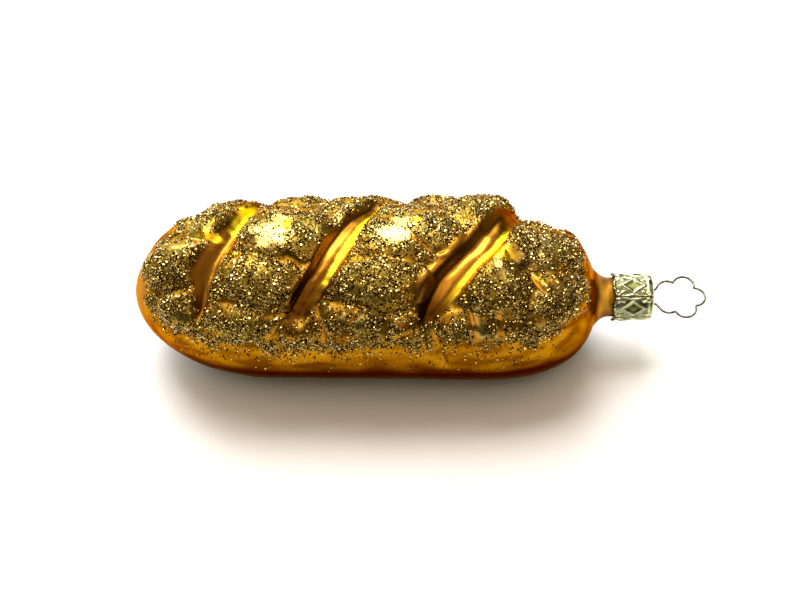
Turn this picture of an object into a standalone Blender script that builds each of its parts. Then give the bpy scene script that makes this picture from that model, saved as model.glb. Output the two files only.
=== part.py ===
"""A blown-glass tree ornament in the form of a scored bread loaf, lying on its flat base.

X runs along the loaf towards the metal cap, Y to the back and Z up. The origin is on the
table, on the flat base under the middle of the loaf. All sizes are in metres.
"""

import math
import random

import bmesh
import bpy
import numpy as np
from mathutils import Matrix, Vector

# Glass loaf
LOAF_LENGTH = 0.112          # closed tip to where the neck starts
LOAF_WIDTH = 0.0436          # across the fullest part, without the lumps
LOAF_HEIGHT = 0.0395         # flat base to crown, without the lumps
BASE_SINK = 0.0022           # how far the round underside is flattened
BASE_EASE = 0.0012           # softness of the turn from the side into the flat base
TIP_REACH = 0.033            # length of the rounded closed end
SHOULDER_REACH = 0.030       # length of the rounded end next to the neck
SHOULDER_FULLNESS = 2.3      # 2 is an ellipse, more is blunter
TIP_SLIMMING = 0.05          # the tip end is this share slimmer than the neck end
TIP_LIFT = 0.0007            # how much higher the tip's middle lies than the body's
TIP_LIFT_END = 0.25          # share of the length where that lift has run out
GLASS_WALL = 0.0009

# Neck
NECK_RADIUS = 0.0048
NECK_HEIGHT = 0.0165         # the neck's axis above the table
NECK_SHOWN = 0.0034          # bare glass between the loaf and the cap
NECK_FLARE = 0.0026          # how far past the loaf's end the loaf runs out into the neck
NECK_FLARE_START = 1.55      # the flare starts at this many neck radii
NECK_SINK_START = 0.72       # share of the length where the loaf's middle starts to sink to the neck's

# Crust: the cuts run from low on the front, over the crown, to the back
CUT_WIDTH = 0.0088
CUT_DEPTH = 0.0012
CUT_FADE = 0.18              # share of a cut's length over which its end runs out
CUT_END_WIDTH = 0.3          # width of a cut's ends, as a share of its full width
CUT_FLOOR = 0.4              # width of a cut's floor, as a share of its width at the top
CUT_RIDGE = 0.50             # height of the ridge along a cut's floor, as a share of its depth
CUT_RIDGE_WIDTH = 0.28       # as a share of the cut's width
CUTS = (                     # front end and back end (share of the loaf's length, degrees from the
    ((0.147, -58.0), (0.264, 55.0), -0.014, 0.20),   # crown), bow in shares of the length, and
    ((0.350, -56.0), (0.533, 42.0), -0.004, -0.20),  # where the ridge stands across the cut,
    ((0.616, -58.0), (0.825, 56.0), 0.020, -0.20),   # from -1 on the tip side to 1
)
LUMP_HEIGHT = 0.0023
FULL_LUMP = 22.0             # lumps of a smaller half width, in degrees, are lower to match
LUMP_ROUNDNESS = 0.8         # 0.5 is a half ellipse, 1 a parabola
CREASE_SHARPNESS = 5.0       # how sharply neighbouring lumps meet
LUMPS = (                    # on each stretch between the cuts: share of the way along the stretch,
    (                        # degrees from the crown, half length (share of the stretch), half width
        (0.77, 27.0, 0.30, 22.0), (0.51, -9.0, 0.44, 24.0), (0.76, -54.0, 0.38, 22.0)),
    (
        (0.50, 8.0, 0.42, 25.0), (0.84, 36.0, 0.28, 22.0), (0.44, -28.0, 0.44, 20.0),
        (0.45, -57.0, 0.46, 20.0)),
    (
        (0.42, 9.0, 0.42, 27.0), (0.82, 33.0, 0.28, 24.0), (0.43, -28.0, 0.42, 19.0),
        (0.07, -62.0, 0.14, 15.0), (0.45, -57.0, 0.30, 20.0), (0.88, -61.0, 0.19, 15.0)),
    (
        (0.53, 4.0, 0.38, 24.0), (0.30, -32.0, 0.28, 20.0), (0.26, -61.0, 0.21, 17.0),
        (0.74, -40.0, 0.25, 27.0)),
)
BACK_LUMPS = ((0.26, 68.0, 0.29, 21.0), (0.74, 64.0, 0.29, 21.0))   # the same, behind each stretch
LUMP_SEED = 11
CRUST_THICKNESS = 0.0004     # how far even the hollows between lumps stand proud
CRUST_FOOT = 0.0225          # the crust starts to rise at this height
CRUST_FULL = 0.0285          # and is full above this one
CRUST_AT_TIP = (0.15, 0.6)   # shares of the radius between which it rises at the ends
HEEL_DROP = 0.0034           # the heel by the neck is this much lower on top
HEEL_START = 0.785           # shares of the length between which it drops
HEEL_END = 0.86
HEEL_RUN_OUT = 0.95          # share of the length where the drop has run out again
HEEL_MIDDLE = 45.0           # degrees from the crown where it drops most
HEEL_SPREAD = (25.0, 85.0)   # degrees from there between which the drop runs out

# Metal cap
CAP_GAP = 0.0003             # between the neck and the cap, all round and at the mouth
CAP_SHEET = 0.0003
CAP_LENGTH = 0.0100
CAP_CORNER = 0.0009
CAP_RIM_FLARE = 0.0003       # the rim is this much wider than the top
CAP_PANELS = 6
CAP_TURN = -35.0             # degrees from the crown to one of the folds between panels
SCALLOP_DEPTH = 0.0008
LOZENGE_LENGTH = 0.0060
LOZENGE_WIDTH = 0.0040
LOZENGE_PINCH = 0.22         # how hollow a lozenge's sides are
LOZENGE_BEAD = 0.00024       # radius of the raised line round a lozenge

# Wire hanger, a loop of five round lobes with two sprung legs
WIRE_RADIUS = 0.00030
WIRE_HOLE_GAP = 0.0003
FOOT_SPACING = 0.0042        # between the two wires where they come out of the cap
ROSETTE_LOBES = 5
ROSETTE_REACH = 0.00615      # from its middle to a lobe's tip
ROSETTE_LENGTH = 0.0130      # from the cap to the farthest lobe
LOBE_TURN = 90.0             # degrees each way from a lobe's tip to the bend between lobes
LOOP_END = 155.0             # degrees from the far lobe where the loop runs straight to its feet
FOOT_LEAN = 60.0             # degrees that this straight run leans from the neck's axis
SHARP_CORNER = 35.0          # a turn of more degrees than this is drawn as a bend
BEND_REACH = 0.00055         # how far from such a corner the wire starts to bend
LEG_WALL_GAP = 0.0004        # between the legs and the inside of the neck
LEG_PAST_NECK = 0.0031       # how far the legs reach into the loaf
LEG_SPREAD = 0.0092          # between the legs' ends, inside the loaf

# How finely the shapes are cut
SKIN_TRIANGLES = 3300
STATION_STEP = 0.0011
END_CROWDING = 1.4           # the stations are this much closer together on the rounded ends
FLARE_STEPS = 5
NECK_STEPS = 4
STEPS_ROUND = 96
CAP_STEPS = 42
HOLE_STEPS = 12
LOZENGE_STEPS = 3
LOBE_STEPS = 8
BEND_STEPS = 4
SAME_PLACE = 0.00001         # points closer than this are one
FLAT_WITHIN = 0.00006        # what lies this close to the table is laid flat on it

CAP_INNER_RADIUS = NECK_RADIUS + CAP_GAP
CAP_RADIUS = CAP_INNER_RADIUS + CAP_SHEET
TIP_X = -LOAF_LENGTH / 2
NECK_X = LOAF_LENGTH / 2
CAP_RIM_X = NECK_X + NECK_SHOWN
CAP_TOP_X = CAP_RIM_X + CAP_LENGTH
MOUTH_X = CAP_TOP_X - CAP_SHEET - CAP_GAP


def clear_scene():
    for old in list(bpy.data.objects):
        bpy.data.objects.remove(old)


def new_collection(name):
    made = bpy.data.collections.new(name)
    bpy.context.scene.collection.children.link(made)
    return made


def new_material(name, colour, roughness, metallic):
    material = bpy.data.materials.new(name)
    material.use_nodes = True
    shader = material.node_tree.nodes["Principled BSDF"]
    shader.inputs["Base Color"].default_value = (*colour, 1.0)
    shader.inputs["Roughness"].default_value = roughness
    shader.inputs["Metallic"].default_value = metallic
    return material


def add_object(name, data, collection, material=None):
    made = bpy.data.objects.new(name, data)
    collection.objects.link(made)
    if material is not None:
        data.materials.append(material)
    return made


def baked_mesh(obj):
    """The object's mesh with its modifiers applied."""
    graph = bpy.context.evaluated_depsgraph_get()
    return bpy.data.meshes.new_from_object(obj.evaluated_get(graph))


def ease(value, low, high):
    """0 below low, 1 above high, with a smooth rise between them."""
    share = np.clip((value - low) / (high - low), 0.0, 1.0)
    return share * share * (3.0 - 2.0 * share)


def loaf_outline():
    """(distance from the tip, radius as a share of the fullest) from the tip to the neck's mouth."""
    points = []
    tip_steps = round(END_CROWDING * TIP_REACH / STATION_STEP)
    for i in range(tip_steps):
        turn = math.pi / 2 * i / tip_steps
        points.append((TIP_REACH * (1.0 - math.cos(turn)), math.sin(turn)))

    barrel_end = LOAF_LENGTH - SHOULDER_REACH
    barrel_steps = round((barrel_end - TIP_REACH) / STATION_STEP)
    for i in range(barrel_steps):
        points.append((TIP_REACH + (barrel_end - TIP_REACH) * i / barrel_steps, 1.0))

    power = 2.0 / SHOULDER_FULLNESS
    neck_share = NECK_RADIUS / (LOAF_WIDTH / 2)
    flare_share = neck_share * NECK_FLARE_START
    last_turn = math.acos(flare_share ** (1.0 / power))
    shoulder_steps = round(END_CROWDING * SHOULDER_REACH / STATION_STEP)
    for i in range(shoulder_steps + 1):
        turn = last_turn * i / shoulder_steps
        points.append((barrel_end + SHOULDER_REACH * math.sin(turn) ** power, math.cos(turn) ** power))

    flare_start, flare_end = points[-1][0], LOAF_LENGTH + NECK_FLARE
    for i in range(1, FLARE_STEPS + 1):
        rest = 1.0 - i / FLARE_STEPS
        points.append((flare_end - (flare_end - flare_start) * rest,
                       neck_share + (flare_share - neck_share) * rest * rest))

    mouth = MOUTH_X - TIP_X
    for i in range(1, NECK_STEPS + 1):
        points.append((flare_end + (mouth - flare_end) * i / NECK_STEPS, neck_share))
    return points


def cut_place(cut, degrees):
    """Where a cut's line crosses the given angle, as a share of the loaf's length."""
    (front_share, front_angle), (back_share, back_angle), bow, _ = cut
    run = (degrees - front_angle) / (back_angle - front_angle)
    return front_share + (back_share - front_share) * run + 4.0 * bow * run * (1.0 - run)


def lumps():
    """The dough's bulges: (share along, degrees round, half length, half width, height) for each."""
    rng = random.Random(LUMP_SEED)
    for stretch, own_lumps in enumerate(LUMPS):
        for along, degrees, half_length, half_width in own_lumps + BACK_LUMPS:
            edges = [0.0, *(cut_place(cut, degrees) for cut in CUTS), 1.0]
            left, right = edges[stretch:stretch + 2]
            yield (left + (right - left) * along, degrees, half_length * (right - left), half_width,
                   LUMP_HEIGHT * min(1.0, half_width / FULL_LUMP) * rng.uniform(0.85, 1.1))


def crust_height(share, degrees):
    """How far the dough bulges out between the cuts, in metres."""
    total = np.zeros_like(share)
    for at, angle, half_length, half_width, height in lumps():
        reach = ((share - at) / half_length) ** 2 + ((degrees - angle) / half_width) ** 2
        dome = height * np.clip(1.0 - reach, 0.0, None) ** LUMP_ROUNDNESS
        total += dome ** CREASE_SHARPNESS
    return CRUST_THICKNESS + total ** (1.0 / CREASE_SHARPNESS)


def cut_shape(share, degrees):
    """(how far the crust is cut away, from 0 to 1; depth of the cuts below the loaf, in metres)."""
    metres_per_degree = math.radians((LOAF_WIDTH + LOAF_HEIGHT) / 4)
    cleared = np.zeros_like(share)
    depth = np.zeros_like(share)
    for cut in CUTS:
        front_angle, back_angle = cut[0][1], cut[1][1]
        slope = (cut_place(cut, degrees + 1.0) - cut_place(cut, degrees)) * LOAF_LENGTH / metres_per_degree
        across = (share - cut_place(cut, degrees)) * LOAF_LENGTH / np.sqrt(1.0 + slope ** 2)
        run = (degrees - front_angle) / (back_angle - front_angle)
        fade = ease(run, -0.02, CUT_FADE) * (1.0 - ease(run, 1.0 - CUT_FADE, 1.02))
        side = across / (CUT_WIDTH / 2 * (CUT_END_WIDTH + (1.0 - CUT_END_WIDTH) * fade))
        trough = ease(side, -1.0, -CUT_FLOOR) * (1.0 - ease(side, CUT_FLOOR, 1.0))
        ridge = CUT_RIDGE * np.exp(-(((side - cut[3]) / CUT_RIDGE_WIDTH) ** 2))
        cleared = np.maximum(cleared, trough * ease(fade, 0.0, 0.5))
        depth = np.maximum(depth, trough * (1.0 - ridge) * fade * CUT_DEPTH)
    return cleared, depth


def settle_on_table(height):
    """Heights with what lies below the table flattened onto it, by a soft turn."""
    turning = (height + BASE_EASE) ** 2 / (4.0 * BASE_EASE)
    height = np.where(np.abs(height) < BASE_EASE, turning, height)
    return np.where(height <= -BASE_EASE, 0.0, np.maximum(height, 0.0))


def sculpt_loaf(points):
    """Moves the points of a turned body, of radius 1 about X with its tip at 0, onto the loaf."""
    from_tip = points[:, 0]
    full = np.hypot(points[:, 1], points[:, 2])
    angle = np.arctan2(points[:, 1], points[:, 2])
    degrees = np.degrees(angle)
    share = from_tip / LOAF_LENGTH

    slimming = 1.0 - TIP_SLIMMING * (1.0 - np.clip(share, 0.0, 1.0))
    half_width = LOAF_WIDTH / 2 * slimming
    half_height = (LOAF_HEIGHT + BASE_SINK) / 2 * slimming
    body_centre = (LOAF_HEIGHT - BASE_SINK) / 2
    centre = (body_centre + TIP_LIFT * (1.0 - ease(share, 0.0, TIP_LIFT_END))
              + (NECK_HEIGHT - body_centre) * ease(share, NECK_SINK_START, 1.0))
    neck = ease(from_tip, LOAF_LENGTH - NECK_FLARE, LOAF_LENGTH + NECK_FLARE)
    side = full * (half_width * (1.0 - neck) + LOAF_WIDTH / 2 * neck) * np.sin(angle)
    rise = full * (half_height * (1.0 - neck) + LOAF_WIDTH / 2 * neck) * np.cos(angle)

    cleared, depth = cut_shape(share, degrees)
    crust = ease(centre + rise, CRUST_FOOT, CRUST_FULL) * ease(full, *CRUST_AT_TIP) * (1.0 - neck)
    heel = (ease(share, HEEL_START, HEEL_END) * (1.0 - ease(share, HEEL_END, HEEL_RUN_OUT))
            * (1.0 - ease(np.abs(degrees - HEEL_MIDDLE), *HEEL_SPREAD)))
    lift = crust * (crust_height(share, degrees) * (1.0 - cleared) - depth) - HEEL_DROP * heel

    facing_end = np.sqrt(np.clip(1.0 - full ** 2, 0.0, 1.0)) * (1.0 - neck)
    facing_out = np.sqrt(1.0 - facing_end ** 2)
    out_y, out_z = np.sin(angle) / half_width, np.cos(angle) / half_height
    out_length = np.hypot(out_y, out_z)
    moved = np.empty_like(points)
    moved[:, 0] = TIP_X + from_tip + lift * facing_end * np.where(share < 0.5, -1.0, 1.0)
    moved[:, 1] = side + lift * facing_out * out_y / out_length
    moved[:, 2] = settle_on_table(centre + rise + lift * facing_out * out_z / out_length)
    return moved


def turned(name, outline, steps, collection):
    """An object whose outline of (along X, radius) points is turned about X."""
    profile = bpy.data.meshes.new(name)
    profile.from_pydata([(x, 0.0, radius) for x, radius in outline],
                        [(i, i + 1) for i in range(len(outline) - 1)], [])
    made = add_object(name, profile, collection)
    screw = made.modifiers.new("turn", "SCREW")
    screw.axis = "X"
    screw.steps = screw.render_steps = steps
    screw.use_normal_flip = True
    screw.use_merge_vertices = True
    screw.merge_threshold = SAME_PLACE
    return made


def make_glass_loaf(collection, material):
    """The blown shell: one skin from the closed tip to the neck's open mouth, given its wall."""
    lathe = turned("loaf_lathe", loaf_outline(), STEPS_ROUND, collection)
    skin = baked_mesh(lathe)
    bpy.data.objects.remove(lathe)

    points = np.empty(len(skin.vertices) * 3)
    skin.vertices.foreach_get("co", points)
    skin.vertices.foreach_set("co", sculpt_loaf(points.reshape(-1, 3)).ravel())
    skin.update()

    fine = add_object("loaf_fine", skin, collection)
    fewer = fine.modifiers.new("fewer_faces", "DECIMATE")
    fewer.ratio = SKIN_TRIANGLES / sum(len(face.vertices) - 2 for face in skin.polygons)
    coarse = baked_mesh(fine)
    bpy.data.objects.remove(fine)

    for vertex in coarse.vertices:
        if vertex.co.z < FLAT_WITHIN:
            vertex.co.z = 0.0
    coarse.shade_smooth()

    glass = add_object("glass_loaf", coarse, collection, material)
    wall = glass.modifiers.new("wall", "SOLIDIFY")
    wall.thickness = GLASS_WALL
    wall.offset = -1.0
    return glass


def on_neck(x, radius, degrees):
    """A point at a radius and at an angle from the crown, round the neck's axis."""
    angle = math.radians(degrees)
    return Vector((x, radius * math.sin(angle), NECK_HEIGHT + radius * math.cos(angle)))


def cap_radius_at(x):
    """Outer radius of the cap's wall, which widens towards the rim."""
    return CAP_RADIUS + CAP_RIM_FLARE * (CAP_TOP_X - x) / CAP_LENGTH


def cap_outline():
    """The cap's section from the inside of its top, round the rim, to the outside of its top."""
    inner_top = CAP_TOP_X - CAP_SHEET
    inner_corner = CAP_CORNER - CAP_SHEET
    points = [(inner_top, 0.0)]
    for turn in (0.0, 45.0, 90.0):
        lean = math.radians(turn)
        points.append((inner_top - inner_corner * (1.0 - math.cos(lean)),
                       CAP_INNER_RADIUS - inner_corner * (1.0 - math.sin(lean))))
    points.append((CAP_RIM_X, cap_radius_at(CAP_RIM_X) - CAP_SHEET))
    points.append((CAP_RIM_X, cap_radius_at(CAP_RIM_X)))
    points.append((CAP_RIM_X + SCALLOP_DEPTH * 2, cap_radius_at(CAP_RIM_X + SCALLOP_DEPTH * 2)))
    for turn in (90.0, 60.0, 30.0, 0.0):
        lean = math.radians(turn)
        points.append((CAP_TOP_X - CAP_CORNER * (1.0 - math.cos(lean)),
                       CAP_RADIUS - CAP_CORNER * (1.0 - math.sin(lean))))
    points.append((CAP_TOP_X, 0.0))
    return points


def apply_boolean(target, other, operation):
    """Joins another object into the target's mesh, or cuts it out, and clears the other away."""
    boolean = target.modifiers.new(operation.lower(), "BOOLEAN")
    boolean.operation = operation
    boolean.solver = "EXACT"
    boolean.object = other
    result = baked_mesh(target)
    target.modifiers.clear()
    target.data = result
    bpy.data.objects.remove(other)


def wire(name, lines, radius, closed, resolution, collection):
    """Round wire along each line of points, as one curve object with a bevel."""
    curve = bpy.data.curves.new(name, "CURVE")
    curve.dimensions = "3D"
    curve.bevel_depth = radius
    curve.bevel_resolution = resolution
    curve.use_fill_caps = not closed
    for line in lines:
        spline = curve.splines.new("POLY")
        spline.points.add(len(line) - 1)
        for spot, point in zip(spline.points, line):
            spot.co = (*point, 1.0)
        spline.use_cyclic_u = closed
    return add_object(name, curve, collection)


def as_mesh_object(curve_object, collection):
    """A mesh object in place of a curve object, with its seam points merged."""
    mesh = baked_mesh(curve_object)
    name = curve_object.name
    bpy.data.objects.remove(curve_object)
    tidy = bmesh.new()
    tidy.from_mesh(mesh)
    bmesh.ops.remove_doubles(tidy, verts=tidy.verts, dist=0.000001)
    bmesh.ops.recalc_face_normals(tidy, faces=tidy.faces)
    tidy.to_mesh(mesh)
    tidy.free()
    return add_object(name, mesh, collection)


def lozenge_line(middle_degrees):
    """Points of a hollow-sided lozenge laid on the cap's wall."""
    middle_x = (CAP_RIM_X + SCALLOP_DEPTH / 2 + CAP_TOP_X) / 2
    corners = [(LOZENGE_LENGTH / 2, 0.0), (0.0, LOZENGE_WIDTH / 2),
               (-LOZENGE_LENGTH / 2, 0.0), (0.0, -LOZENGE_WIDTH / 2)]
    line = []
    for (x0, y0), (x1, y1) in zip(corners, corners[1:] + corners[:1]):
        for i in range(LOZENGE_STEPS):
            t = i / LOZENGE_STEPS
            draw_in = 1.0 - LOZENGE_PINCH * 4.0 * t * (1.0 - t)
            x = middle_x + (x0 + (x1 - x0) * t) * draw_in
            round_way = (y0 + (y1 - y0) * t) * draw_in
            radius = cap_radius_at(x)
            line.append(on_neck(x, radius, middle_degrees + math.degrees(round_way / radius)))
    return line


def make_metal_cap(collection, cutters, material):
    """The stamped cap: a thin cup with a scalloped rim, raised lozenges and two wire holes."""
    lathe = turned("cap_lathe", cap_outline(), CAP_STEPS, collection)
    mesh = baked_mesh(lathe)
    bpy.data.objects.remove(lathe)
    panel_degrees = 360.0 / CAP_PANELS
    for vertex in mesh.vertices:
        if vertex.co.x < CAP_RIM_X + SAME_PLACE:
            degrees = math.degrees(math.atan2(vertex.co.y, vertex.co.z))
            vertex.co.x += SCALLOP_DEPTH * (1.0 - abs(math.sin(math.radians(degrees) * CAP_PANELS / 2)))
        turn = math.radians(CAP_TURN)
        y, z = vertex.co.y, vertex.co.z
        vertex.co.y = y * math.cos(turn) + z * math.sin(turn)
        vertex.co.z = NECK_HEIGHT + z * math.cos(turn) - y * math.sin(turn)
    cap = add_object("metal_cap", mesh, collection, material)

    hole_mesh = bpy.data.meshes.new("wire_holes")
    drill = bmesh.new()
    hole_radius = WIRE_RADIUS + WIRE_HOLE_GAP
    for side in (-1, 1):
        place = (Matrix.Translation((CAP_TOP_X - CAP_SHEET / 2, side * FOOT_SPACING / 2, NECK_HEIGHT))
                 @ Matrix.Rotation(math.pi / 2, 4, "Y"))
        bmesh.ops.create_cone(drill, cap_ends=True, segments=HOLE_STEPS, depth=4 * CAP_SHEET,
                              radius1=hole_radius, radius2=hole_radius, matrix=place)
    drill.to_mesh(hole_mesh)
    drill.free()
    apply_boolean(cap, add_object("wire_holes", hole_mesh, cutters), "DIFFERENCE")

    lines = [lozenge_line(CAP_TURN + panel_degrees * (panel + 0.5)) for panel in range(CAP_PANELS)]
    beads = wire("lozenge_beads", lines, LOZENGE_BEAD, True, 0, cutters)
    apply_boolean(cap, as_mesh_object(beads, cutters), "UNION")
    cap.data.shade_smooth()
    return cap


def bend_corners(points, reach):
    """The same line with each sharp corner drawn as a short bend."""
    bent = [points[0]]
    for before, corner, after in zip(points, points[1:], points[2:]):
        arrive, leave = (corner - before), (after - corner)
        if arrive.angle(leave) < math.radians(SHARP_CORNER):
            bent.append(corner)
            continue
        start = corner - arrive.normalized() * min(reach, arrive.length / 2)
        finish = corner + leave.normalized() * min(reach, leave.length / 2)
        for step in range(BEND_STEPS + 1):
            t = step / BEND_STEPS
            bent.append(start * (1 - t) ** 2 + corner * 2 * t * (1 - t) + finish * t * t)
    bent.append(points[-1])
    return bent


def hanger_line():
    """The wire's middle line in the plane of the neck's axis, as (along X, across Y) points."""
    half_gap = FOOT_SPACING / 2
    between = math.pi / ROSETTE_LOBES
    turn = math.radians(LOBE_TURN)
    lobe_radius = ROSETTE_REACH / (1.0 + math.sin(turn) / math.tan(between) - math.cos(turn))
    lobe_offset = ROSETTE_REACH - lobe_radius
    middle_x = CAP_TOP_X + ROSETTE_LENGTH - ROSETTE_REACH

    along_neck = NECK_RADIUS - GLASS_WALL - LEG_WALL_GAP - WIRE_RADIUS
    leg = [(NECK_X - LEG_PAST_NECK, LEG_SPREAD / 2),
           (NECK_X + NECK_FLARE, along_neck),
           ((CAP_RIM_X + CAP_TOP_X) / 2, along_neck),
           (MOUTH_X - CAP_CORNER, half_gap),
           (CAP_TOP_X, half_gap)]

    half = []
    first_lobe = (ROSETTE_LOBES - 1) // 2
    for lobe in range(first_lobe, -1, -1):
        facing = 2.0 * between * lobe
        centre = Vector((middle_x + lobe_offset * math.cos(facing), lobe_offset * math.sin(facing)))
        for i in range(LOBE_STEPS + 1):
            local = turn - 2.0 * turn * i / LOBE_STEPS
            heading = facing + local
            point = centre + Vector((math.cos(heading), math.sin(heading))) * lobe_radius
            past_middle = lobe == 0 and i > LOBE_STEPS / 2
            if heading > math.radians(LOOP_END) or past_middle:
                continue
            if half and (point - half[-1]).length < SAME_PLACE:
                continue
            half.append(point)
    drop = (half[0].y - half_gap) / math.tan(math.radians(FOOT_LEAN))
    foot_corner = Vector((half[0].x - drop, half_gap))
    way_round = [Vector(spot) for spot in leg] + [foot_corner] + half
    mirrored = [Vector((point.x, -point.y)) for point in reversed(way_round)
                if point.y > SAME_PLACE]
    return way_round + mirrored


def make_wire_hanger(collection, material):
    """One wire: a leg down the neck, the lobed loop, and the other leg."""
    line = bend_corners(hanger_line(), BEND_REACH)
    hanger = wire("wire_hanger", [[(point.x, point.y, NECK_HEIGHT) for point in line]],
                  WIRE_RADIUS, False, 2, collection)
    hanger.data.materials.append(material)
    return hanger


def main():
    clear_scene()
    parts = new_collection("glass_bread_ornament")
    cutters = new_collection("cutters")
    amber_glass = new_material("amber_glass", (0.72, 0.36, 0.05), 0.25, 0.9)
    pale_gold = new_material("pale_gold_plate", (0.78, 0.72, 0.42), 0.32, 1.0)
    bright_wire = new_material("bright_wire", (0.72, 0.68, 0.55), 0.25, 1.0)
    make_glass_loaf(parts, amber_glass)
    make_metal_cap(parts, cutters, pale_gold)
    make_wire_hanger(parts, bright_wire)


main()
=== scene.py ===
import math
import random

import bmesh
import bpy
import numpy as np
from mathutils import Matrix, Vector, noise


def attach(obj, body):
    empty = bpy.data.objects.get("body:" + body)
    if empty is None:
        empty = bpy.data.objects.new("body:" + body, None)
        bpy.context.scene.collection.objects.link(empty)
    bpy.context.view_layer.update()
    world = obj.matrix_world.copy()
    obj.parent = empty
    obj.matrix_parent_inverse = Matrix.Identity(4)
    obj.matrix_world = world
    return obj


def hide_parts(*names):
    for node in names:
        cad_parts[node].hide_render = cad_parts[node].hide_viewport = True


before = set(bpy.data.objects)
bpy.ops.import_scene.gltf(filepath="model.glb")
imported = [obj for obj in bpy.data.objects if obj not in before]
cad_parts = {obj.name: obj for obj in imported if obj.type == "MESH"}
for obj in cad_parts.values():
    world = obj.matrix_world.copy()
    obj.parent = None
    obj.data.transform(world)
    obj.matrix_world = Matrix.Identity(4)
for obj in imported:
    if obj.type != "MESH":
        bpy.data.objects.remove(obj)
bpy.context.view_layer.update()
print("frame loaded:", sorted(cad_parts))


def ease(value, low, high):  # 0 below low, 1 above high, smooth between
    share = np.clip((value - low) / (high - low), 0, 1)
    return share * share * (3 - 2 * share)


def climb(value, amount, low, high):  # 0 below low, the amount above high
    return amount * ease(value, low, high)


def plateau(value, rise, fall):  # 1 from the end of the rise to the start of the fall
    return ease(value, *rise) * (1 - ease(value, *fall))


def bead(away, width):  # 1 on a line, falling to 0 at a distance from it
    return np.exp(-(away / width) ** 2)


def blend(parts, amounts):  # the parts added up, each times its amount
    return sum(amount * parts[name] for name, amount in amounts.items())


def placeObject(name, data):
    placed = bpy.data.objects.new(name, data)
    bpy.context.scene.collection.objects.link(placed)
    return placed


def addPiece(name, mesh, nodes=()):
    piece = placeObject(name, mesh)
    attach(piece, "root")
    if nodes:
        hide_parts(*nodes)


def bakeMesh(holder):  # the mesh that an object makes, with the object taken away
    graph = bpy.context.evaluated_depsgraph_get()
    mesh = bpy.data.meshes.new_from_object(holder.evaluated_get(graph))
    bpy.data.objects.remove(holder)
    return mesh


def spinAboutX(points, steps, layerName=None, layerValues=None):  # points are (along X, radius)
    turned = bmesh.new()
    layer = turned.verts.layers.float.new(layerName) if layerName else None
    ring = []
    for i, (x, radius) in enumerate(points):
        vert = turned.verts.new((x, 0, radius))
        if layer:
            vert[layer] = layerValues[i]
        ring.append(vert)
    line = [turned.edges.new(pair) for pair in zip(ring, ring[1:])]
    bmesh.ops.spin(turned, geom=ring + line, cent=(0, 0, 0), axis=(1, 0, 0),
                   angle=2 * math.pi, steps=steps, use_merge=True)
    bmesh.ops.remove_doubles(turned, verts=turned.verts, dist=0.0000005)
    bmesh.ops.recalc_face_normals(turned, faces=turned.faces)
    return turned


def toMesh(name, shape, smooth=True):
    mesh = bpy.data.meshes.new(name)
    shape.to_mesh(mesh)
    shape.free()
    if smooth:
        mesh.shade_smooth()
    return mesh


def readNumbers(items, name, kind=float, width=1):
    flat = np.empty(len(items) * width, dtype=kind)
    items.foreach_get(name, flat)
    return flat


def readPoints(mesh):
    return readNumbers(mesh.vertices, "co", width=3).reshape(-1, 3)


def readField(mesh, name):
    return readNumbers(mesh.attributes[name].data, "value")


def writePoints(mesh, points):
    mesh.vertices.foreach_set("co", points.ravel())
    mesh.update()


def writeField(mesh, name, values):
    field = mesh.attributes.get(name) or mesh.attributes.new(name, "FLOAT", "POINT")
    field.data.foreach_set("value", np.asarray(values, dtype=np.float32))


def noiseAt(points, grain, seed):  # smooth noise from -1 to 1, with lumps of about the grain's size
    shift = Vector((seed * 7.3, seed * 3.1, seed * 5.7))
    return np.array([noise.noise(Vector(point) / grain + shift) for point in points])


# The glass loaf, as the solid has it, then cut finer
loaf = {
    "length": 0.112, "width": 0.0436, "height": 0.0395, "baseSink": 0.0022, "baseEase": 0.0012,
    "tipReach": 0.033, "shoulderReach": 0.03, "shoulderFullness": 2.3, "tipSlimming": 0.05,
    "tipLift": 0.0007, "tipLiftEnd": 0.25, "wall": 0.0009, "innerInset": 0.0026,
    "neckRadius": 0.0048, "neckHeight": 0.0165, "neckFlare": 0.0026, "flareStart": 1.55,
    "neckSinkStart": 0.72, "mouth": 0.1248, "lumpHeight": 0.0023, "fullLump": 22, "lumpRoundness": 0.8,
    "lumpSeed": 11, "lumpVariety": (0.85, 1.1), "creaseSharpness": 5, "creaseFade": 0.6, "creaseReach": 1.6,
    "crustThickness": 0.0004, "crustFoot": 0.0225, "crustFull": 0.0285, "crustAtTip": (0.15, 0.6),
    "heelDrop": 0.0034, "heelStart": (0.785, 0.86), "heelRunOut": (0.86, 0.95), "heelMiddle": 45,
    "heelSpread": (25, 85),
    "stationStep": 0.00048, "innerStep": 0.0055, "stepsRound": 290, "crownCrowding": 0.4,
}
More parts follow.
